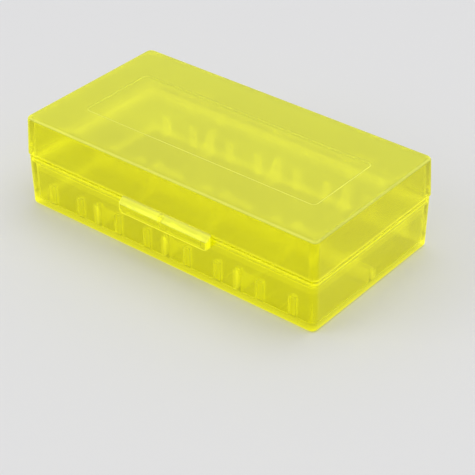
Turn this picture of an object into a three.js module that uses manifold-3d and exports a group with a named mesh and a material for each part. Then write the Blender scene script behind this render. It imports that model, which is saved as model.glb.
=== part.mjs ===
// Hinged storage box for two long round cells, or four short ones laid end to end.
// Two translucent mouldings: a tray with ribs that cradle the cells, and a plain lid whose front
// tab hooks under two ridges on the tray and whose clips turn on pins moulded into the tray.
// Millimetres. X runs along the box, -Y is the front with the tab, +Z is up, and the origin is the
// middle of the face the box stands on.

import * as THREE from 'three';
import { mergeVertices } from 'three/addons/utils/BufferGeometryUtils.js';
import Module from 'manifold-3d';

// Cells that the box is made for
const cellDiameter = 18.5;
const laneClearance = 0.2;
const cellClearance = 0.1;

// Outer shape
const caseLength = 77;
const cornerRadius = 1.3;
const edgeRadius = 0.7;
const rimRadius = 0.35;
const lidDraft = 0.4;
const trayDraft = 0.2;
const lidOverhang = 0.2;

// Walls and the seam between lid and tray
const floorThickness = 1.2;
const roofThickness = 1.1;
const trayWall = 1.4;
const lidWall = 1.5;
const innerRadius = 1;
const innerEdgeRadius = 0.5;
const seamHeight = 12.15;
const seamGap = 0.3;
const rimThickness = 0.6;
const tongueClearance = 0.15;
const tongueDepth = 1.6;

// Ribs in the tray
const saddlePitch = 18.8;
const saddleThickness = 1.4;
const saddleHeight = 7;
const saddleWeb = 0.4;
const finOffset = 4;
const finThickness = 1.8;
const finDepth = 1.2;
const finHeight = 6.1;
const dividerThickness = 1.4;
const dividerHeight = 4.6;

// Panel sunk in the lid
const panelLength = 61;
const panelWidth = 20;
const panelRadius = 1.4;
const panelDepth = 0.2;

// Tab on the lid and the ridges it hooks under
const tabLength = 23.6;
const tabOffset = 1.3;
const tabReach = 1.8;
const tabRise = 0.75;
const tabSlope = 1.25;
const tabDrop = 2.75;
const tabEdgeRadius = 0.5;
const tabCornerRadius = 1.2;
const tabEndWall = 2;
const tabRib = 2;
const hookHeight = 0.4;
const hookGrip = 0.3;
const ridgeDepth = 0.7;
const ridgeHeight = 0.6;
const ridgeEndGap = 0.5;
const latchGap = 0.3;

// Hinges
const hingeSpacing = 44;
const pinRadius = 0.75;
const boreClearance = 0.25;
const clipWall = 0.5;
const clipWidth = 6;
const clipMouth = 1.2;
const clipRootHeight = 3;
const clipRootLift = 0.45;
const lugRadius = 1.3;
const lugThickness = 2;
const lugRootDrop = 4.5;
const lugRootTop = 0.45;
const hingeGap = 0.3;

// How finely curves are divided, how far cuts run past, how near corners are joined
const cornerSteps = 7;
const edgeSteps = 4;
const rimSteps = 3;
const roundSteps = 28;
const cutOverrun = 1;
const rootOverlap = 0.5;
const weldDistance = 0.0001;

// Sizes that follow from these
const cellRadius = cellDiameter / 2;
const trayHalfLength = caseLength / 2 - lidOverhang;
const trayHalfWidth = cellDiameter + laneClearance + trayWall;
const lidHalfLength = caseLength / 2;
const lidHalfWidth = trayHalfWidth + lidOverhang;
const trayTop = seamHeight - seamGap / 2;
const lidBottom = seamHeight + seamGap / 2;
const saddleFloor = floorThickness + saddleWeb;
const cellAxisHeight = saddleFloor + cellClearance + cellRadius;
const lidTop = cellAxisHeight + cellRadius + cellClearance + roofThickness;
const laneCentre = (cellDiameter + laneClearance) / 2;
const shelfHeight = lidBottom - tongueDepth - tongueClearance;
const rebateRadius = cornerRadius - rimThickness / 2;

const wasm = await Module();
wasm.setup();

// A closed geometry as a solid that can be joined and cut
function solidOf(geometry) {
  geometry.deleteAttribute('normal');
  geometry.deleteAttribute('uv');
  const welded = mergeVertices(geometry, weldDistance);
  return new wasm.Manifold(new wasm.Mesh({
    numProp: 3,
    vertProperties: new Float32Array(welded.attributes.position.array),
    triVerts: new Uint32Array(welded.index.array),
  }));
}

function geometryOf(solid) {
  const { vertProperties, triVerts } = solid.getMesh();
  const geometry = new THREE.BufferGeometry();
  geometry.setAttribute('position', new THREE.BufferAttribute(vertProperties, 3));
  geometry.setIndex(new THREE.BufferAttribute(triVerts, 1));
  geometry.computeVertexNormals();
  return geometry;
}

function joined(solids) {
  return solids.reduce((whole, solid) => whole.add(solid));
}

function cut(solid, tools) {
  return tools.reduce((rest, tool) => rest.subtract(tool), solid);
}

// The corners of a rectangle with round corners, counter-clockwise
function roundedOutline(halfLength, halfWidth, radius) {
  const points = [];
  const corners = [[1, 1, 0], [-1, 1, 1], [-1, -1, 2], [1, -1, 3]];
  for (const [sideX, sideY, quarter] of corners) {
    for (let step = 0; step <= cornerSteps; step += 1) {
      const angle = (quarter + step / cornerSteps) * Math.PI / 2;
      points.push([
        sideX * (halfLength - radius) + radius * Math.cos(angle),
        sideY * (halfWidth - radius) + radius * Math.sin(angle),
      ]);
    }
  }
  return points;
}

// A block through a stack of round-cornered outlines, from the lowest to the highest
function stackedBlock(levels) {
  const outlines = levels.map((level) => roundedOutline(
    level.halfLength, level.halfWidth, level.radius));
  const count = outlines[0].length;
  const positions = [];
  const faces = [];
  outlines.forEach((outline, row) => {
    outline.forEach(([x, y]) => positions.push(x, y, levels[row].height));
  });
  for (let row = 0; row + 1 < outlines.length; row += 1) {
    for (let column = 0; column < count; column += 1) {
      const next = (column + 1) % count;
      const low = row * count;
      const high = low + count;
      faces.push(low + column, low + next, high + next);
      faces.push(low + column, high + next, high + column);
    }
  }
  const last = (outlines.length - 1) * count;
  const cap = THREE.ShapeUtils.triangulateShape(outlines[0].map(([x, y]) => new THREE.Vector2(x, y)), []);
  for (const [a, b, c] of cap) {
    faces.push(a, c, b);
    faces.push(last + a, last + b, last + c);
  }
  const geometry = new THREE.BufferGeometry();
  geometry.setAttribute('position', new THREE.Float32BufferAttribute(positions, 3));
  geometry.setIndex(faces);
  return solidOf(geometry);
}

// Levels of a moulded block: size gives its half sizes at a height, and the two ends are rounded
function blockLevels(low, high, size, radius, lowRound, lowSteps, highRound, highSteps) {
  const levels = [];
  const addLevel = (height, inset) => {
    const [halfLength, halfWidth] = size(height);
    levels.push({
      height,
      halfLength: halfLength - inset,
      halfWidth: halfWidth - inset,
      radius: radius - inset / 2,
    });
  };
  for (let step = 0; step <= lowSteps; step += 1) {
    const angle = step / lowSteps * Math.PI / 2;
    addLevel(low + lowRound * (1 - Math.cos(angle)), lowRound * (1 - Math.sin(angle)));
  }
  for (let step = highSteps; step >= 0; step -= 1) {
    const angle = step / highSteps * Math.PI / 2;
    addLevel(high - highRound * (1 - Math.cos(angle)), highRound * (1 - Math.sin(angle)));
  }
  return levels;
}

// A box between two corners
function boxBetween(low, high) {
  const size = high.map((value, axis) => value - low[axis]);
  const geometry = new THREE.BoxGeometry(...size);
  geometry.translate(...low.map((value, axis) => value + size[axis] / 2));
  return solidOf(geometry);
}

// A section drawn in Y and Z, carried along X between two ends
function alongX(shape, from, to) {
  const geometry = new THREE.ExtrudeGeometry(shape, {
    depth: to - from,
    bevelEnabled: false,
    curveSegments: roundSteps,
  });
  geometry.rotateZ(Math.PI / 2);
  geometry.rotateY(Math.PI / 2);
  geometry.translate(from, 0, 0);
  return solidOf(geometry);
}

function rodAlongX(radius, y, z, from, to) {
  const geometry = new THREE.CylinderGeometry(radius, radius, to - from, roundSteps);
  geometry.rotateZ(Math.PI / 2);
  geometry.translate((from + to) / 2, y, z);
  return solidOf(geometry);
}

// Half sizes of the two mouldings at a height, with their draft
function traySize(height) {
  const inset = trayDraft * (trayTop - height) / trayTop;
  return [trayHalfLength - inset, trayHalfWidth - inset];
}

function lidSize(height) {
  const inset = lidDraft * (height - lidBottom) / (lidTop - lidBottom);
  return [lidHalfLength - inset, lidHalfWidth - inset];
}

function shrunk(size, amount) {
  return (height) => size(height).map((half) => half - amount);
}

// Tray shell: the floor, the walls, and the shelf that the lid's tongue drops onto
const trayInside = shrunk(traySize, trayWall);

function trayShell() {
  const outer = stackedBlock(blockLevels(
    0, trayTop, traySize, cornerRadius, edgeRadius, edgeSteps, rimRadius, rimSteps));
  const room = stackedBlock(blockLevels(
    floorThickness, trayTop + cutOverrun, trayInside, innerRadius, innerEdgeRadius, edgeSteps, 0, 1));
  const rebate = stackedBlock(blockLevels(
    shelfHeight, trayTop + cutOverrun, shrunk(traySize, rimThickness), rebateRadius, 0, 1, 0, 1));
  return cut(outer, [room, rebate]);
}

// Cradle ribs: three saddles across, a divider along, and fins in pairs on both walls and the divider
function saddles() {
  const [, reach] = trayInside(saddleHeight);
  const halfThickness = saddleThickness / 2;
  const cells = [-1, 1].map((side) => rodAlongX(
    cellRadius + cellClearance, side * laneCentre, cellAxisHeight, -trayHalfLength, trayHalfLength));
  const ribs = [-1, 0, 1].map((place) => boxBetween(
    [place * saddlePitch - halfThickness, -reach - rootOverlap, floorThickness - rootOverlap],
    [place * saddlePitch + halfThickness, reach + rootOverlap, saddleHeight]));
  return cut(joined(ribs), cells);
}

function finPlaces() {
  return [-3, -1, 1, 3].flatMap((bay) => [-1, 1].map((side) => bay * saddlePitch / 2 + side * finOffset));
}

function fins() {
  const [, top] = trayInside(finHeight);
  const [, foot] = trayInside(floorThickness);
  const spans = [
    [-top - rootOverlap, finDepth - foot],
    [-finDepth, finDepth],
    [foot - finDepth, top + rootOverlap],
  ];
  return finPlaces().flatMap((place) => spans.map(([front, back]) => boxBetween(
    [place - finThickness / 2, front, floorThickness - rootOverlap],
    [place + finThickness / 2, back, finHeight])));
}

function divider() {
  const [reach] = trayInside(floorThickness);
  return boxBetween(
    [-reach - rootOverlap, -dividerThickness / 2, floorThickness - rootOverlap],
    [reach + rootOverlap, dividerThickness / 2, dividerHeight]);
}

// Catch: the tab on the lid hangs over the tray's front wall, and a hook in each of its two pockets
// lies under a ridge on that wall
const frontWall = -trayHalfWidth;
const tabFace = frontWall - tabReach;
const tabBack = frontWall - latchGap;
const tabTop = lidBottom + tabRise;
const tabEdge = tabTop - tabSlope;
const tabBottom = seamHeight - tabDrop;
const hookTop = tabBottom + hookHeight;
const ridgeLow = hookTop + latchGap;
const ridgeTop = ridgeLow + ridgeHeight;
const ridgeTip = frontWall - ridgeDepth;
const hookFace = ridgeTip + hookGrip;
const pocketTop = ridgeTop + latchGap;
const pocketBack = ridgeTip - latchGap;
const tabLeft = tabOffset - tabLength / 2;
const tabRight = tabOffset + tabLength / 2;
const pocketSpans = [
  [tabLeft + tabEndWall, tabOffset - tabRib / 2],
  [tabOffset + tabRib / 2, tabRight - tabEndWall],
];

function tab() {
  const root = -lidHalfWidth + rootOverlap;
  const section = new THREE.Shape();
  section.moveTo(root, tabTop);
  section.lineTo(-lidHalfWidth, tabTop);
  section.lineTo(tabFace + tabEdgeRadius, tabEdge);
  section.quadraticCurveTo(tabFace, tabEdge, tabFace, tabEdge - tabEdgeRadius);
  section.lineTo(tabFace, tabBottom + tabEdgeRadius);
  section.absarc(
    tabFace + tabEdgeRadius, tabBottom + tabEdgeRadius, tabEdgeRadius, Math.PI, Math.PI * 1.5);
  section.lineTo(tabBack, tabBottom);
  section.lineTo(tabBack, lidBottom);
  section.lineTo(root, lidBottom);
  const bar = alongX(section, tabLeft, tabRight);
  const faceTop = tabTop + cutOverrun;
  const roundLeft = tabLeft + tabCornerRadius;
  const roundRight = tabRight - tabCornerRadius;
  const roundZ = tabBottom + tabCornerRadius;
  const face = new THREE.Shape();
  face.moveTo(tabLeft, faceTop);
  face.lineTo(tabLeft, roundZ);
  face.absarc(roundLeft, roundZ, tabCornerRadius, Math.PI, Math.PI * 1.5);
  face.lineTo(roundRight, tabBottom);
  face.absarc(roundRight, roundZ, tabCornerRadius, Math.PI * 1.5, Math.PI * 2);
  face.lineTo(tabRight, faceTop);
  const stamp = new THREE.ExtrudeGeometry(face, {
    depth: root - tabFace + 2 * cutOverrun,
    bevelEnabled: false,
    curveSegments: cornerSteps,
  });
  stamp.rotateX(Math.PI / 2);
  stamp.translate(0, root + cutOverrun, 0);
  return bar.intersect(solidOf(stamp));
}

function pockets() {
  return pocketSpans.map(([left, right]) => {
    const pocket = boxBetween(
      [left, pocketBack, tabBottom - cutOverrun], [right, tabBack + cutOverrun, pocketTop]);
    const hook = boxBetween(
      [left - cutOverrun, pocketBack - cutOverrun, tabBottom - cutOverrun],
      [right + cutOverrun, hookFace, hookTop]);
    return pocket.subtract(hook);
  });
}

function ridges() {
  const root = frontWall + rootOverlap;
  const section = new THREE.Shape();
  section.moveTo(root, ridgeLow);
  section.lineTo(ridgeTip, ridgeLow);
  section.lineTo(ridgeTip, (ridgeLow + ridgeTop) / 2);
  section.lineTo(frontWall, ridgeTop);
  section.lineTo(root, ridgeTop);
  return pocketSpans.map(([left, right]) => alongX(section, left + ridgeEndGap, right - ridgeEndGap));
}

// Hinges: two lugs and a pin between them on the tray, and an open clip round the pin on the lid
const clipBore = pinRadius + boreClearance;
const clipRadius = clipBore + clipWall;
const pivotY = trayHalfWidth + hingeGap + clipRadius;
const pivotZ = seamHeight;
const hingePlaces = [-hingeSpacing / 2, hingeSpacing / 2];

function lugs() {
  const root = trayHalfWidth - rootOverlap;
  const rootTop = pivotZ - lugRootTop;
  const startAngle = Math.PI + Math.asin(lugRootTop / lugRadius);
  const section = new THREE.Shape();
  section.moveTo(root, rootTop);
  section.absarc(pivotY, pivotZ, lugRadius, startAngle, -Math.PI / 4, true);
  section.lineTo(root, pivotZ - lugRootDrop);
  return hingePlaces.flatMap((place) => [-1, 1].map((side) => {
    const near = place + side * (clipWidth / 2 + hingeGap);
    const far = near + side * lugThickness;
    return alongX(section, Math.min(near, far), Math.max(near, far));
  }));
}

function pins() {
  const reach = clipWidth / 2 + hingeGap + lugThickness / 2;
  return hingePlaces.map((place) => rodAlongX(pinRadius, pivotY, pivotZ, place - reach, place + reach));
}

function clips() {
  const root = lidHalfWidth - lidDraft - rootOverlap;
  const rootLow = lidBottom + clipRootLift;
  const section = new THREE.Shape();
  section.moveTo(root, rootLow);
  section.lineTo(root, rootLow + clipRootHeight);
  section.lineTo(pivotY, pivotZ + clipRadius);
  section.lineTo(pivotY, rootLow);
  return hingePlaces.map((place) => {
    const from = place - clipWidth / 2;
    const to = place + clipWidth / 2;
    const arm = alongX(section, from, to);
    const barrel = rodAlongX(clipRadius, pivotY, pivotZ, from, to);
    const bore = rodAlongX(clipBore, pivotY, pivotZ, from - cutOverrun, to + cutOverrun);
    const mouth = boxBetween(
      [from - cutOverrun, pivotY - clipMouth / 2, pivotZ - clipRadius - cutOverrun],
      [to + cutOverrun, pivotY + clipMouth / 2, pivotZ]);
    return cut(arm.add(barrel), [bore, mouth]);
  });
}

// Lid shell: the roof with its sunk panel, the walls, and the tongue that drops inside the tray's rim
function lidShell() {
  const inside = shrunk(lidSize, lidWall);
  const roofUnderside = lidTop - roofThickness;
  const tongueBottom = lidBottom - tongueDepth;
  const tongueSize = traySize(trayTop).map((half) => half - rimThickness - tongueClearance);
  const outer = stackedBlock(blockLevels(
    lidBottom, lidTop, lidSize, cornerRadius, rimRadius, rimSteps, edgeRadius, edgeSteps));
  const tongue = stackedBlock(blockLevels(
    tongueBottom, lidBottom + rimRadius + rootOverlap, () => tongueSize,
    rebateRadius - tongueClearance, 0, 1, 0, 1));
  const room = stackedBlock(blockLevels(
    lidBottom, roofUnderside, inside, innerRadius, 0, 1, innerEdgeRadius, edgeSteps));
  const mouth = stackedBlock(blockLevels(
    tongueBottom - cutOverrun, lidBottom + rootOverlap, () => inside(lidBottom),
    innerRadius, 0, 1, 0, 1));
  const panel = stackedBlock(blockLevels(
    lidTop - panelDepth, lidTop + cutOverrun, () => [panelLength / 2, panelWidth / 2],
    panelRadius, 0, 1, 0, 1));
  return cut(outer.add(tongue), [room, mouth, panel]);
}

// Translucent yellow plastic, a little paler on the lid where light comes off the roof
function moulding(name, solid, colour) {
  const material = new THREE.MeshStandardMaterial({ color: colour, roughness: 0.28, metalness: 0 });
  const mesh = new THREE.Mesh(geometryOf(solid), material);
  mesh.name = name;
  return mesh;
}

const tray = joined([trayShell(), saddles(), divider(), ...fins(), ...ridges(), ...lugs(), ...pins()]);
const lid = cut(lidShell().add(tab()), pockets()).add(joined(clips()));

const box = new THREE.Group();
box.add(moulding('case_tray', tray, 0xcfce1e));
box.add(moulding('case_lid', lid, 0xdadb34));

export default box;
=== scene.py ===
import math
import bmesh
import bpy
from mathutils import Matrix


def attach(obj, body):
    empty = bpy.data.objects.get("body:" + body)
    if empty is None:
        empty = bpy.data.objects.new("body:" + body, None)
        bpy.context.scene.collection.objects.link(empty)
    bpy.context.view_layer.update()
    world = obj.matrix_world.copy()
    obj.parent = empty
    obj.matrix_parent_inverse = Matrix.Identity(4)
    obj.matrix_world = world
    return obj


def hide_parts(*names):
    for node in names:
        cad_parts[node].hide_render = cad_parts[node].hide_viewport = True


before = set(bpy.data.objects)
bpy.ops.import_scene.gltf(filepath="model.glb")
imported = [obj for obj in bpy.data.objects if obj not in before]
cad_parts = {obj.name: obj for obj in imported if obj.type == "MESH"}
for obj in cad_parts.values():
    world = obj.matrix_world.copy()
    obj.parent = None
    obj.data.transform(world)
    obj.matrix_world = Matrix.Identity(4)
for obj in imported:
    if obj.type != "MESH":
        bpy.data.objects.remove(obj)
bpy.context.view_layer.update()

# Tray
# The lower half of the case, one moulding of clear yellow plastic that scatters light a little.
# Its floor, walls, cradle ribs, catch ridges and hinge lugs leave the mould together, so
# they are fused here into one skin. Sizes are in millimetres until a mesh is made.
MM = 0.001
CORNER = 1.3
CORNER_SHARE = 0.25
ARC_STEPS = 10
FILLET_STEPS = 6
FUSE = 0.5
SPECK = 0.002
SHARP_DEGREES = 32


def filleted(path):
    """The path with an arc at each corner that states a radius as its third number."""
    points = []
    for place, corner in enumerate(path):
        if len(corner) < 3:
            points.append(corner)
            continue
        x, y, radius = corner
        ahead = path[(place + 1) % len(path)]
        behind = path[place - 1]
        back = (behind[0] - x, behind[1] - y)
        on = (ahead[0] - x, ahead[1] - y)
        back_length = math.hypot(*back)
        on_length = math.hypot(*on)
        back = (back[0] / back_length, back[1] / back_length)
        on = (on[0] / on_length, on[1] / on_length)
        half = math.acos(max(-1, min(1, back[0] * on[0] + back[1] * on[1]))) / 2
        middle = (back[0] + on[0], back[1] + on[1])
        reach = radius / math.sin(half) / math.hypot(*middle)
        centre = (x + middle[0] * reach, y + middle[1] * reach)
        start = math.atan2(y + back[1] * radius / math.tan(half) - centre[1],
                           x + back[0] * radius / math.tan(half) - centre[0])
        end = math.atan2(y + on[1] * radius / math.tan(half) - centre[1],
                         x + on[0] * radius / math.tan(half) - centre[0])
        turn = (end - start + math.pi) % (2 * math.pi) - math.pi
        for step in range(FILLET_STEPS + 1):
            angle = start + turn * step / FILLET_STEPS
            points.append((centre[0] + radius * math.cos(angle), centre[1] + radius * math.sin(angle)))
    return points


def outline(half_x, half_y, radius):
    """A rectangle with round corners, counter-clockwise from the +X side."""
    points = []
    for quarter, (side_x, side_y) in enumerate(((1, 1), (-1, 1), (-1, -1), (1, -1))):
        for step in range(ARC_STEPS + 1):
            angle = (quarter + step / ARC_STEPS) * math.pi / 2
            points.append((side_x * (half_x - radius) + radius * math.cos(angle),
                           side_y * (half_y - radius) + radius * math.sin(angle)))
    return points


def add_piece(name, mesh):
    piece = bpy.data.objects.new(name, mesh)
    bpy.context.scene.collection.objects.link(piece)
    return piece


def skin(name, rings):
    """A closed skin through rings of points, all with the same number of points."""
    points = [(x * MM, y * MM, z * MM) for ring in rings for x, y, z in ring]
    count = len(rings[0])
    faces = [tuple(reversed(range(count)))]
    for row in range(len(rings) - 1):
        low = row * count
        for column in range(count):
            beside = (column + 1) % count
            faces.append((low + column, low + beside, low + count + beside, low + count + column))
    faces.append(tuple(range(len(points) - count, len(points))))
    mesh = bpy.data.meshes.new(name)
    mesh.from_pydata(points, [], faces)
    return add_piece(name, mesh)


def loft(name, levels, centre=(0, 0)):
    """A skin through round-cornered outlines, each (half x, half y, radius, height)."""
    return skin(name, [[(x + centre[0], y + centre[1], height)
                        for x, y in outline(half_x, half_y, radius)]
                       for half_x, half_y, radius, height in levels])


def levels_of(profile, half_x, half_y):
    """Outlines of a moulded shell from its section, given as (inset, height) pairs."""
    return [(half_x - inset, half_y - inset, CORNER - inset * CORNER_SHARE, height)
            for inset, height in filleted(profile)]


def prism(name, section, low_x, high_x, edge):
    """A section in Y and Z carried along X, with its two end faces eased by edge."""
    shape = bmesh.new()
    face = shape.faces.new([shape.verts.new((low_x * MM, y * MM, z * MM)) for y, z in section])
    grown = bmesh.ops.extrude_face_region(shape, geom=[face])["geom"]
    far = [item for item in grown if isinstance(item, bmesh.types.BMVert)]
    bmesh.ops.translate(shape, verts=far, vec=((high_x - low_x) * MM, 0, 0))
    bmesh.ops.recalc_face_normals(shape, faces=shape.faces)
    ends = [item for item in shape.faces if abs(item.normal.x) > 0.99]
    rims = {item for end in ends for item in end.edges}
    bmesh.ops.bevel(shape, geom=list(rims), offset=edge * MM, offset_type="OFFSET", segments=3,
                    profile=0.5, affect="EDGES", clamp_overlap=True)
    mesh = bpy.data.meshes.new(name)
    shape.to_mesh(mesh)
    shape.free()
    return add_piece(name, mesh)


def combine(piece, tools, operation):
    """The piece joined with the tools or cut by them. The tools are used up."""
    for tool in tools:
        step = piece.modifiers.new("step", "BOOLEAN")
        step.operation = operation
        step.solver = "EXACT"
        step.object = tool
    graph = bpy.context.evaluated_depsgraph_get()
    mesh = bpy.data.meshes.new_from_object(piece.evaluated_get(graph))
    piece.modifiers.clear()
    piece.data = mesh
    for tool in tools:
        bpy.data.objects.remove(tool)


def smooth(piece):
    """Smooth shading that keeps flat faces flat and breaks only at real corners."""
    shape = bmesh.new()
    shape.from_mesh(piece.data)
    bmesh.ops.remove_doubles(shape, verts=shape.verts, dist=SPECK * MM)
    bmesh.ops.dissolve_degenerate(shape, edges=shape.edges, dist=SPECK * MM)
    for face in shape.faces:
        face.smooth = True
    for edge in shape.edges:
        edge.smooth = edge.calc_face_angle(0) < math.radians(SHARP_DEGREES)
    shape.to_mesh(piece.data)
    shape.free()
    even = piece.modifiers.new("even_shading", "WEIGHTED_NORMAL")
    even.keep_sharp = True
    even.weight = 100


TRAY_X = 38.3
TRAY_Y = 20.1
TRAY_TOP = 12
TRAY_FLOOR = 1.2
TRAY_WALL = 1.4
RIM_WALL = 0.6
SHELF_Z = 10.55
tray_profile = [
    (3, 0), (0.2, 0, 0.7), (0, TRAY_TOP, 0.35), (RIM_WALL, TRAY_TOP, 0.12), (RIM_WALL, SHELF_Z, 0.1),
    (TRAY_WALL + 0.02, SHELF_Z, 0.12), (TRAY_WALL + 0.18, TRAY_FLOOR, 0.5), (2.4, TRAY_FLOOR)]
tray = loft("tray", levels_of(tray_profile, TRAY_X, TRAY_Y))

# Saddles and divider, the low ribs that the cells lie in. They are moulded with the floor and
# the walls, so their roots reach a little way into both.
LANE_Y = 9.35
CELL_Z = 10.95
SADDLE_RADIUS = 9.35
SADDLE_TOP = 7
SADDLE_PITCH = 18.8
SADDLE_HALF = 0.7
SADDLE_ARC_STEPS = 30
ROOT_Z = TRAY_FLOOR - FUSE
ROOT_Y = TRAY_Y - TRAY_WALL + 0.4
chord = math.sqrt(SADDLE_RADIUS ** 2 - (CELL_Z - SADDLE_TOP) ** 2)
half_angle = math.atan2(chord, CELL_Z - SADDLE_TOP)
lane = [(SADDLE_RADIUS * math.sin(half_angle * share),
         CELL_Z - SADDLE_RADIUS * math.cos(half_angle * share))
        for share in (1 - 2 * step / SADDLE_ARC_STEPS for step in range(SADDLE_ARC_STEPS + 1))]
saddle = ([(-ROOT_Y, ROOT_Z), (ROOT_Y, ROOT_Z), (ROOT_Y, SADDLE_TOP)]
          + [(LANE_Y + y, z) for y, z in lane] + [(y - LANE_Y, z) for y, z in lane]
          + [(-ROOT_Y, SADDLE_TOP)])
ribs = [prism("saddle", saddle, middle - SADDLE_HALF, middle + SADDLE_HALF, edge=0.15)
        for middle in (-SADDLE_PITCH, 0, SADDLE_PITCH)]
DIVIDER_HALF = 0.7
DIVIDER_TOP = 4.6
DIVIDER_END = TRAY_X - 1
divider = filleted([(-DIVIDER_HALF, ROOT_Z), (DIVIDER_HALF, ROOT_Z),
                    (DIVIDER_HALF, DIVIDER_TOP, 0.25), (-DIVIDER_HALF, DIVIDER_TOP, 0.25)])
ribs.append(prism("divider", divider, -DIVIDER_END, DIVIDER_END, edge=0.1))

# Cradle fins, upright pads with round edges that stand in pairs between the saddles, on both
# long walls and on the divider. They are moulded with the tray.
FIN_OFFSET = 4
FIN_HALF = 0.9
FIN_DEPTH = 1.2
FIN_TOP = 6.1
FIN_CORNER = 0.55
FIN_CROWN = 0.3
FOOT_Y = TRAY_Y - TRAY_WALL - 0.18
crown = filleted([(0, ROOT_Z), (0, FIN_TOP, FIN_CROWN), (FIN_CROWN * 1.5, FIN_TOP)])
fin_rows = ((-ROOT_Y, FIN_DEPTH - FOOT_Y), (-FIN_DEPTH, FIN_DEPTH), (FOOT_Y - FIN_DEPTH, ROOT_Y))
for bay in (-3, -1, 1, 3):
    for side in (-1, 1):
        fin_x = bay * SADDLE_PITCH / 2 + side * FIN_OFFSET
        for low_y, high_y in fin_rows:
            half_y = (high_y - low_y) / 2
            fin_levels = [(FIN_HALF - inset, half_y - inset, FIN_CORNER - inset / 2, height)
                          for inset, height in crown]
            ribs.append(loft("fin", fin_levels, (fin_x, (low_y + high_y) / 2)))

# Catch ridges, two low bars on the outside of the front wall. They are moulded with it, and the
# hooks of the lid's tab snap in under them.
RIDGE_TIP = -TRAY_Y - 0.7
RIDGE_LOW = 10.1
RIDGE_HIGH = 10.7
RIDGE_LENGTH = 7.8
ridge = filleted([(-TRAY_Y + FUSE, RIDGE_LOW), (RIDGE_TIP, RIDGE_LOW, 0.1), (RIDGE_TIP, 10.4, 0.12),
                  (-TRAY_Y - 0.03, RIDGE_HIGH), (-TRAY_Y + FUSE, RIDGE_HIGH)])
ribs += [prism("catch_ridge", ridge, low_x, low_x + RIDGE_LENGTH, edge=0.04) for low_x in (-8, 2.8)]

# Hinge lugs, which stand out in pairs from the back wall, and the pins between them. All are
# moulded with the tray, and the lid's clips turn on the pins.
PIVOT_Y = 21.9
PIVOT_Z = 12.15
LUG_RADIUS = 1.3
LUG_SHOULDER = 0.45
LUG_DROP = 4.5
LUG_NEAR = 3.3
LUG_FAR = 5.3
LUG_THICKNESS = 2
PIN_RADIUS = 0.75
PIN_HALF = 4.3
HINGES = (-22, 22)
ROUND_STEPS = 48


def arc(centre_y, centre_z, radius, start, end, steps):
    """Points of an arc in Y and Z, from one angle to another in degrees."""
    return [(centre_y + radius * math.cos(math.radians(start + (end - start) * step / steps)),
             centre_z + radius * math.sin(math.radians(start + (end - start) * step / steps)))
            for step in range(steps + 1)]


lug_root = TRAY_Y - FUSE
lug_start = 180 + math.degrees(math.asin(LUG_SHOULDER / LUG_RADIUS))
lug = ([(lug_root, PIVOT_Z - LUG_SHOULDER)] + arc(PIVOT_Y, PIVOT_Z, LUG_RADIUS, lug_start, -45, 30)
       + [(lug_root, PIVOT_Z - LUG_DROP)])
pin = arc(PIVOT_Y, PIVOT_Z, PIN_RADIUS, 0, 360, ROUND_STEPS)[:-1]
for place in HINGES:
    ribs.append(prism("pin", pin, place - PIN_HALF, place + PIN_HALF, edge=0.05))
    ribs += [prism("lug", lug, low_x, low_x + LUG_THICKNESS, edge=0.18)
             for low_x in (place - LUG_FAR, place + LUG_NEAR)]
combine(tray, ribs, "UNION")
smooth(tray)


# The plastic of both halves, clear and fluorescent yellow. Light that gets into it leaves again
# at round edges, ribs and rims, which is drawn as an even glow there. Steep faces, the cradle
# and fine scuffs are duller than the rest.
YELLOW = (0.86, 0.862, 0.01, 1)
YELLOW_DEEP = (0.825, 0.82, 0.01, 1)
# Painted light: the emission glow of the plastic, on its walls, round edges, corners and marked places.
GLOW = 0.2
WALL_GLOW = (0.27, 0.263, 0, 1)
PAINTED_LIGHT_GLOW = (2, 1.95, 0.07, 1)
EDGE_GLOW = (0.85, 0.83, 0.2, 1)
EDGE_START = 0.3
EDGE_FULL = 0.65
CORNER_GLOW = 0.1
CLEARNESS = 0.85
BENDING = 1.49
SHINE = 0.08
TINT = (1, 0.95, 0.3, 1)
ROUGH = 0.03
WALL_ROUGH = 0.11
CRADLE_ROUGH = 0.2
SCUFF_ROUGH = 0.03
CLOUD_ROUGH = 0.03
GRAIN_ROUGH = 0.02
CLOUD_SCALE = 60
GRAIN_SCALE = 2600
SCUFF_SCALE = (1400, 110, 1400)
GRAIN_STRENGTH = 0.04
GRAIN_DEPTH = 0.02
# Painted sheen: how much of a pale, rough layer is mixed into the lid's milky skin, and its colour and
# finish.
MILK_SHEEN = 0.28
HAZE_SHEEN_COLOUR = (0.56, 0.63, 0.165, 1)
HAZE_ROUGH = 0.4
HAZE_SHINE = 0.1
SEAM_Z = 12.15


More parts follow.
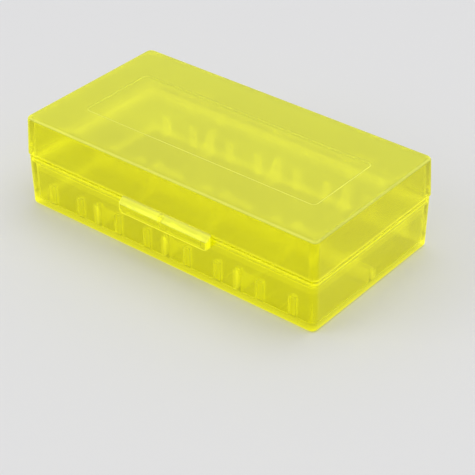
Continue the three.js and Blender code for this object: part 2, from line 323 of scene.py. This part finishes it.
class Wire:
    """A shader value. Sums, differences and products of wires add the Math nodes."""

    def __init__(self, tree, socket):
        self.tree = tree
        self.socket = socket

    def node(self, kind, settings=None, sockets=None, output=0):
        """A new node: its type, its settings, the values or links of its sockets, and its output."""
        made = self.tree.nodes.new(kind)
        for key, value in (settings or {}).items():
            setattr(made, key, value)
        for key, value in (sockets or {}).items():
            if isinstance(value, Wire):
                self.tree.links.new(value.socket, made.inputs[key])
            else:
                made.inputs[key].default_value = value
        return Wire(self.tree, made.outputs[output])

    def math(self, operation, *values):
        return self.node("ShaderNodeMath", {"operation": operation}, dict(enumerate(values)))

    def __add__(self, other):
        return self.math("ADD", self, other)

    def __radd__(self, other):
        return self.math("ADD", other, self)

    def __sub__(self, other):
        return self.math("SUBTRACT", self, other)

    def __rsub__(self, other):
        return self.math("SUBTRACT", other, self)

    def __mul__(self, other):
        return self.math("MULTIPLY", self, other)

    def __rmul__(self, other):
        return self.math("MULTIPLY", other, self)

    def size(self):
        return self.math("ABSOLUTE", self)

    def most(self, other):
        return self.math("MAXIMUM", self, other)

    def least(self, other):
        return self.math("MINIMUM", self, other)

    def clamped(self, low, high):
        """0 up to low, 1 from high on, and a smooth rise between them."""
        return self.node("ShaderNodeMapRange", {"interpolation_type": "SMOOTHSTEP"},
                         {"Value": self, "From Min": low, "From Max": high})

    def past(self, low, high):
        """1 where a place is past both limits, which are in millimetres, and 0 short of both."""
        return self.clamped(low * MM, high * MM)

    def short_of(self, low, high):
        """1 where a place is short of both limits, which are in millimetres, and 0 past both."""
        return 1 - self.past(low, high)

    def blend(self, none, full):
        """The colour none where this value is 0, full where it is 1, and mixed between."""
        return self.node("ShaderNodeMix", {"data_type": "RGBA"}, {"Factor": self, 6: none, 7: full}, 2)


def in_cradle(x, y):
    """The room between the tray's walls, with the floor, saddles, divider and fins."""
    return x.size().short_of(36.5, 36.65) * y.size().short_of(18.25, 18.4)


def corner_light(x, y, least, more):
    """Light in the upright corners, with more of it in the right back and left front ones."""
    in_corner = x.size().past(36.4, 37.2) * y.size().past(18.2, 19)
    return in_corner * (least + more * (x * y).clamped(0, 100 * MM * MM))


def yellow_plastic(name, painted_light_at, haze_and_sheen_at=None):
    """The moulded plastic, with painted light: an emission glow all over it, brighter at round outer
    edges and where the given light function says, which is given the place in metres and how far the
    face looks up. Where the given haze function says, its skin is milky and carries painted sheen as
    well."""
    material = bpy.data.materials.new(name)
    material.use_nodes = True
    tree = material.node_tree
    shader = tree.nodes["Principled BSDF"]
    start = Wire(tree, None)
    place = start.node("ShaderNodeTexCoord", output=3)
    facing = start.node("ShaderNodeTexCoord", output=1)
    steepness = start.node("ShaderNodeVectorMath", {"operation": "ABSOLUTE"}, {0: facing})
    along, across, upright = (start.node("ShaderNodeSeparateXYZ", None, {0: steepness}, axis)
                              for axis in range(3))
    up = start.node("ShaderNodeSeparateXYZ", None, {0: facing}, 2)
    x, y, z = (start.node("ShaderNodeSeparateXYZ", None, {0: place}, axis) for axis in range(3))
    # Painted highlight: round outer edges glow brighter, and upright corners a little brighter.
    edges = upright.least(along.most(across)).clamped(EDGE_START, EDGE_FULL)
    corners = along.least(across).clamped(EDGE_START, EDGE_FULL)
    # Painted shade: no edge glow along the seam, where the two rims shade each other.
    off_seam = (z - SEAM_Z * MM).size().past(0.25, 0.4).most(x.size().past(37.6, 37.8))
    outer = x.size().past(36.9, 37.3).most(y.size().past(18.7, 19.1))
    rounded = edges.most(corners * CORNER_GLOW) * off_seam * outer
    # Painted light: the glow colour that goes to the emission.
    glow = painted_light_at(x, y, z, up).blend(rounded.blend(WALL_GLOW, EDGE_GLOW), PAINTED_LIGHT_GLOW)
    cloud = start.node("ShaderNodeTexNoise", None, {"Vector": place, "Scale": CLOUD_SCALE, "Detail": 3})
    grain = start.node("ShaderNodeTexNoise", None, {"Vector": place, "Scale": GRAIN_SCALE, "Detail": 2})
    streaks = start.node("ShaderNodeVectorMath", {"operation": "MULTIPLY"}, {0: place, 1: SCUFF_SCALE})
    scuff = start.node("ShaderNodeTexNoise", None, {"Vector": streaks, "Scale": 1, "Detail": 1})
    dull = in_cradle(x, y) * z.past(0.6, 0.9) * z.short_of(7.1, 7.3)
    steep = 1 - upright.clamped(EDGE_START, EDGE_FULL)
    rough = (ROUGH + WALL_ROUGH * steep + CLOUD_ROUGH * cloud + GRAIN_ROUGH * grain
             + SCUFF_ROUGH * scuff.clamped(0.62, 0.72) + CRADLE_ROUGH * dull)
    base = cloud.clamped(0.3, 0.7).blend(YELLOW_DEEP, YELLOW)
    bump = start.node("ShaderNodeBump", None,
                      {"Strength": GRAIN_STRENGTH, "Distance": GRAIN_DEPTH * MM, "Height": grain})
    changing = {"Base Color": base, "Roughness": rough, "Emission Color": glow, "Normal": bump}
    for socket, wire in changing.items():
        tree.links.new(wire.socket, shader.inputs[socket])
    shader.inputs["Emission Strength"].default_value = GLOW
    shader.inputs["IOR"].default_value = BENDING
    shader.inputs["Specular IOR Level"].default_value = SHINE
    shader.inputs["Specular Tint"].default_value = TINT
    shader.inputs["Transmission Weight"].default_value = CLEARNESS
    # Painted sheen: a pale, rough shader mixed in where the haze function says.
    if haze_and_sheen_at:
        milky_sheen_shader = start.node("ShaderNodeBsdfPrincipled", None, {
            "Base Color": HAZE_SHEEN_COLOUR, "Roughness": HAZE_ROUGH, "Specular IOR Level": HAZE_SHINE,
            "Normal": bump, "Emission Color": glow, "Emission Strength": GLOW})
        mixed = start.node("ShaderNodeMixShader", None,
                           {0: haze_and_sheen_at(x, y, z, up) * MILK_SHEEN, 1: Wire(tree, shader.outputs[0]), 2: milky_sheen_shader})
        tree.links.new(mixed.socket, tree.nodes["Material Output"].inputs[0])
    return material


RIB_LIGHT = 0.4
FRONT_FIN_LOSS = 0.12
BACK_FIN_GAIN = 0.3
FLOOR_LOSS = 0.05
FOOT_LIGHT = 0.72
UNDERSIDE_LIGHT = 0.8
RIM_LIGHT = 0.3
SHELF_LIGHT = 0.8
ROOT_LIGHT = 0.32


def tray_painted_light(x, y, z, up):
    """Painted light, as glow, in the ribs and their roots in the walls, the floor, the foot and
    underside of the walls, the rim with its shelf, and the corners. More of it is painted on the back
    fins and less on the front fins."""
    outside = x.size().past(37, 37.2).most(y.size().past(18.8, 19))
    inside = in_cradle(x, y)
    front_fins = (0 - y).past(16.9, 17.2)
    back_fins = y.past(16.9, 17.2) * z.past(1.6, 2.4)
    floor = z.short_of(1.25, 1.5) * inside
    ribs = inside * (RIB_LIGHT - FRONT_FIN_LOSS * front_fins + BACK_FIN_GAIN * back_fins)
    foot = outside * z.short_of(1.5, 2.5) * FOOT_LIGHT
    border = x.size().past(34, 37).most(y.size().past(16, 19))
    underside = border * z.short_of(0.05, 0.3) * UNDERSIDE_LIGHT
    outer_rim = outside * z.past(11.3, 11.45) * z.short_of(11.8, 11.9)
    shelf = (1 - outside) * (z.past(8.4, 8.8) * 0.35 + z.past(9.8, 10.2) * 0.65)
    rim = (outer_rim * RIM_LIGHT).most(shelf * SHELF_LIGHT)
    middle_saddle = x.size().short_of(0.5, 0.9)
    side_saddles = (x.size() - SADDLE_PITCH * MM).size().short_of(0.5, 0.9)
    saddle_roots = middle_saddle.most(side_saddles) * z.short_of(6.6, 7)
    divider_roots = y.size().short_of(0.5, 0.9) * z.short_of(4.2, 4.6)
    roots = outside * saddle_roots.most(divider_roots) * ROOT_LIGHT
    lit = (ribs * (1 - floor * FLOOR_LOSS)).most(foot).most(underside).most(rim)
    return lit.most(corner_light(x, y, 0.04, 0.5)).most(roots)


tray.data.materials.clear()
tray.data.materials.append(yellow_plastic("tray_yellow", tray_painted_light))
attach(tray, "tray")
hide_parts("case_tray")

# Lid
# The upper half, one moulding of the same plastic: a roof with a shallow panel, plain walls and a
# tongue that drops inside the tray's rim. The tab at the front and the two clips
# at the back are part of it.
LID_X = 38.5
LID_Y = 20.3
LID_LOW = 12.3
LID_TOP = 21.4
LID_WALL = 1.5
ROOF_UNDER = 20.3
TONGUE_LOW = 10.7
TONGUE_INSET = 0.95
PANEL_X = 30.5
PANEL_Y = 10
PANEL_Z = LID_TOP - 0.2
PANEL_CORNER = 1.4
PANEL_SLOPE = 0.6
PANEL_STEPS = 8
lid_profile = [
    (3.5, ROOF_UNDER), (LID_WALL + 0.35, ROOF_UNDER, 0.5), (LID_WALL, LID_LOW),
    (LID_WALL, TONGUE_LOW, 0.12), (TONGUE_INSET, TONGUE_LOW, 0.15), (TONGUE_INSET, LID_LOW),
    (0, LID_LOW, 0.35), (0.4, LID_TOP, 0.7), (2, LID_TOP)]
panel = [(PANEL_X - share * PANEL_SLOPE, PANEL_Y - share * PANEL_SLOPE,
          PANEL_CORNER - share * PANEL_SLOPE,
          LID_TOP + (PANEL_Z - LID_TOP) * (0.5 - 0.5 * math.cos(math.pi * share)))
         for share in (step / PANEL_STEPS for step in range(PANEL_STEPS + 1))]
lid = loft("lid", levels_of(lid_profile, LID_X, LID_Y) + panel)

# Tab, which hangs from the lid over the tray's front wall and is moulded with the lid. It is
# hollow behind, in two pockets, so that its hooks can spring over the ridges.
TAB_MIDDLE = 1.3
TAB_HALF = 11.8
TAB_FACE = -21.9
TAB_LOW = 9.4
TAB_BACK = -20.4
TAB_TOP = 13.05
TAB_EDGE = 11.8
TAB_CORNER = 1.2
TAB_FILLET = 0.5
TAB_EASE = 0.35
TAB_ROOT = FUSE - LID_Y
tab_slope = (TAB_TOP - TAB_EDGE) / (-LID_Y - TAB_FACE)


def tab_ring(y, inset):
    """The tab's outline at a depth: round lower corners, small upper ones, and a top that slopes."""
    left = TAB_MIDDLE - TAB_HALF + inset
    right = TAB_MIDDLE + TAB_HALF - inset
    low = TAB_LOW + inset
    high = min(TAB_TOP, TAB_EDGE + tab_slope * (y - TAB_FACE)) - inset
    path = [(right, low, TAB_CORNER - inset), (right, high, TAB_EASE - inset / 2),
            (left, high, TAB_EASE - inset / 2), (left, low, TAB_CORNER - inset)]
    return [(x, y, z) for x, z in filleted(path)]


tab_depths = [(TAB_ROOT, 0), (-LID_Y, 0), (TAB_BACK - 0.3, 0)]
tab_depths += [(TAB_FACE + TAB_FILLET * (1 - math.sin(math.radians(angle))),
                TAB_FILLET * (1 - math.cos(math.radians(angle)))) for angle in (0, 18, 36, 54, 72, 90)]
tab = skin("tab", [tab_ring(y, inset) for y, inset in tab_depths])
behind = [(TAB_BACK, TAB_LOW - 1), (TAB_ROOT + 1, TAB_LOW - 1),
          (TAB_ROOT + 1, LID_LOW), (TAB_BACK, LID_LOW)]
POCKET_BACK = -21.1
POCKET_TOP = 11
POCKET_LENGTH = 8.8
HOOK_FACE = -20.5
HOOK_TOP = 9.8
pocket = [(POCKET_BACK, POCKET_TOP), (POCKET_BACK, HOOK_TOP), (HOOK_FACE, HOOK_TOP),
          (HOOK_FACE, TAB_LOW - 1), (TAB_BACK + 1, TAB_LOW - 1), (TAB_BACK + 1, POCKET_TOP)]
pockets = [prism("pocket", pocket, low_x, low_x + POCKET_LENGTH, edge=0.01) for low_x in (-8.5, 2.3)]
pockets.append(prism("behind", behind, TAB_MIDDLE - TAB_HALF - 1, TAB_MIDDLE + TAB_HALF + 1, edge=0.01))
combine(tab, pockets, "DIFFERENCE")

# Clips, open rings on short arms at the back of the lid. They are moulded with it and snap on
# the tray's pins, which makes the hinge.
CLIP_RADIUS = 1.5
CLIP_BORE = 1
CLIP_HALF = 3
MOUTH_HALF = 0.6
MOUTH_FLARE = 1.55
ARM_LOW = LID_LOW + 0.45
ARM_HIGH = LID_LOW + 3.45
clip_root = LID_Y - 0.9
arm = filleted([(clip_root, ARM_LOW), (clip_root, ARM_HIGH), (PIVOT_Y - 0.3, PIVOT_Z + CLIP_RADIUS, 0.6),
                (PIVOT_Y, PIVOT_Z + 1.2), (PIVOT_Y, ARM_LOW)])
mouth = math.degrees(math.asin(MOUTH_HALF / CLIP_RADIUS))
flared = mouth * MOUTH_FLARE
ring = (arc(PIVOT_Y, PIVOT_Z, CLIP_RADIUS, mouth - 90, 270 - mouth, ROUND_STEPS)
        + arc(PIVOT_Y, PIVOT_Z, CLIP_BORE, 270 - flared, flared - 90, ROUND_STEPS))
bore = arc(PIVOT_Y, PIVOT_Z, CLIP_BORE + 0.02, 0, 360, ROUND_STEPS)[:-1]
clips = []
for place in HINGES:
    clip = prism("clip", ring, place - CLIP_HALF, place + CLIP_HALF, edge=0.1)
    reach = prism("arm", arm, place - CLIP_HALF + 0.01, place + CLIP_HALF - 0.01, edge=0.1)
    drill = prism("bore", bore, place - CLIP_HALF - 1, place + CLIP_HALF + 1, edge=0.01)
    combine(reach, [drill], "DIFFERENCE")
    clips += [clip, reach]
combine(lid, [tab] + clips, "UNION")
smooth(lid)

# Finish of the lid, the same plastic as the tray's. Its roof and the slope of its tab have a milky skin
# with painted sheen from the light above, and painted light glows in its rim, tongue, panel step and
# tab.
LID_RIM_LIGHT = 0.5
TONGUE_LIGHT = 0.75
GAP_LIGHT = 0.4
STEP_LIGHT = 0.33
STEP_GAIN = 0.1
BEAD_LIGHT = 0.7
SLOPE_LIGHT = 0.47
SLOPE_LOSS = 0.25


def pocket_rib(x):
    """The place of the rib between the tab's pockets, where less glow and sheen are painted on the tab's
    slope.
    """
    return (x - 0.6 * MM).size().short_of(0.3, 1)


def lid_painted_light(x, y, z, up):
    """Painted light, as glow, in the outer rim, the end of the tongue, the gap over the tray's ends, the
    step round the sunk panel, the tab's bead, ends and slope, and the corners. The near part of the step
    has more."""
    outside = x.size().past(37.2, 37.4).most(y.size().past(19, 19.2))
    off_tab = y.size().short_of(20.4, 20.6)
    rim = outside * off_tab * z.past(12.4, 12.5) * z.short_of(12.85, 13) * LID_RIM_LIGHT
    tongue = (1 - outside) * z.short_of(11.6, 11.9) * TONGUE_LIGHT
    gap = x.size().past(37.2, 37.4) * z.short_of(12.35, 12.5) * GAP_LIGHT
    over_panel = x.size().short_of(31, 31.2) * y.size().short_of(10.5, 10.7)
    sloping = 1 - up.clamped(0.93, 0.99)
    near = x.past(-22, -6) * y.short_of(-3, 4)
    step = over_panel * z.past(21, 21.1) * sloping * (STEP_LIGHT + STEP_GAIN * near)
    on_tab = y.short_of(-20.75, -20.6)
    tab_ends = (x - TAB_MIDDLE * MM).size().past(11.2, 11.5)
    bead = on_tab * z.short_of(9.75, 10.05).most(tab_ends)
    slope = on_tab * up.clamped(0.3, 0.6) * (SLOPE_LIGHT - SLOPE_LOSS * pocket_rib(x))
    lit = rim.most(tongue).most(gap).most(step).most(bead * BEAD_LIGHT).most(slope)
    return lit.most(corner_light(x, y, 0.08, 0.27))


def lid_haze_and_sheen(x, y, z, up):
    """Haze on the roof and on the tab's slope: a milky skin with painted sheen, thicker at the roof's
    round edges and towards the back.
    """
    # Painted highlight: the haze is thicker at round edges and towards the back.
    edge_sheen = 1.6 - 0.6 * up.clamped(0.9, 0.99)
    roof = z.past(20.5, 20.7) * up.clamped(0.1, 0.4) * edge_sheen * (1 + y * 6)
    on_slope = y.short_of(-20.6, -20.4) * up.clamped(0.2, 0.5)
    return roof.most(on_slope * (1.4 - 0.8 * pocket_rib(x)))


lid.data.materials.clear()
lid.data.materials.append(yellow_plastic("lid_yellow", lid_painted_light, lid_haze_and_sheen))
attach(lid, "lid")
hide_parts("case_lid")

# Studio: a pale floor, a soft light overhead and one at the front left, and the photographed view.
# The camera looks down on the front right corner from about a third of a metre.
FLOOR_HALF = 3
FLOOR_GREY = (0.72, 0.72, 0.73, 1)
FLOOR_ROUGH = 0.6
floor_mesh = bpy.data.meshes.new("floor")
floor_mesh.from_pydata([(-FLOOR_HALF, -FLOOR_HALF, 0), (FLOOR_HALF, -FLOOR_HALF, 0),
                        (FLOOR_HALF, FLOOR_HALF, 0), (-FLOOR_HALF, FLOOR_HALF, 0)], [], [(0, 1, 2, 3)])
floor = add_piece("floor", floor_mesh)
floor_paint = bpy.data.materials.new("floor_paint")
floor_paint.use_nodes = True
floor_shader = floor_paint.node_tree.nodes["Principled BSDF"]
floor_shader.inputs["Base Color"].default_value = FLOOR_GREY
floor_shader.inputs["Roughness"].default_value = FLOOR_ROUGH
floor_mesh.materials.append(floor_paint)


def soft_light(name, spot, size, power):
    """A square lamp that faces the case, with its side in metres and its power in watts."""
    lamp = bpy.data.lights.new(name, "AREA")
    lamp.size = size
    lamp.energy = power
    holder = bpy.data.objects.new(name, lamp)
    bpy.context.scene.collection.objects.link(holder)
    holder.location = spot
    holder.rotation_euler = holder.location.to_track_quat("Z", "Y").to_euler()


soft_light("overhead", (0.1, 0.15, 0.8), 0.7, 2.6)
soft_light("front_left", (-0.5, -0.6, 0.45), 0.5, 1.3)
ROOM_LIGHT = 0.66
world = bpy.data.worlds.new("studio")
world.use_nodes = True
world.node_tree.nodes["Background"].inputs["Color"].default_value = (1, 1, 1, 1)
world.node_tree.nodes["Background"].inputs["Strength"].default_value = ROOM_LIGHT
bpy.context.scene.world = world

AZIMUTH = 38.994
ELEVATION = 34.096
ROLL = -0.241
CAMERA_SHIFT = (0.002504, -0.003256, 0.337621)
FOCAL_PIXELS = 1579.12
IMAGE_PIXELS = 475
SENSOR = 36
lens = bpy.data.cameras.new("photo_view")
lens.sensor_width = SENSOR
lens.lens = FOCAL_PIXELS / IMAGE_PIXELS * SENSOR
lens.clip_start = 0.01
lens.clip_end = 50
camera = bpy.data.objects.new("photo_view", lens)
bpy.context.scene.collection.objects.link(camera)
camera.matrix_world = (Matrix.Rotation(math.radians(AZIMUTH), 4, "Z")
                       @ Matrix.Rotation(math.radians(90 - ELEVATION), 4, "X")
                       @ Matrix.Rotation(math.radians(ROLL), 4, "Z")
                       @ Matrix.Translation(CAMERA_SHIFT))
bpy.context.scene.camera = camera
bpy.context.scene.view_settings.view_transform = "Standard"
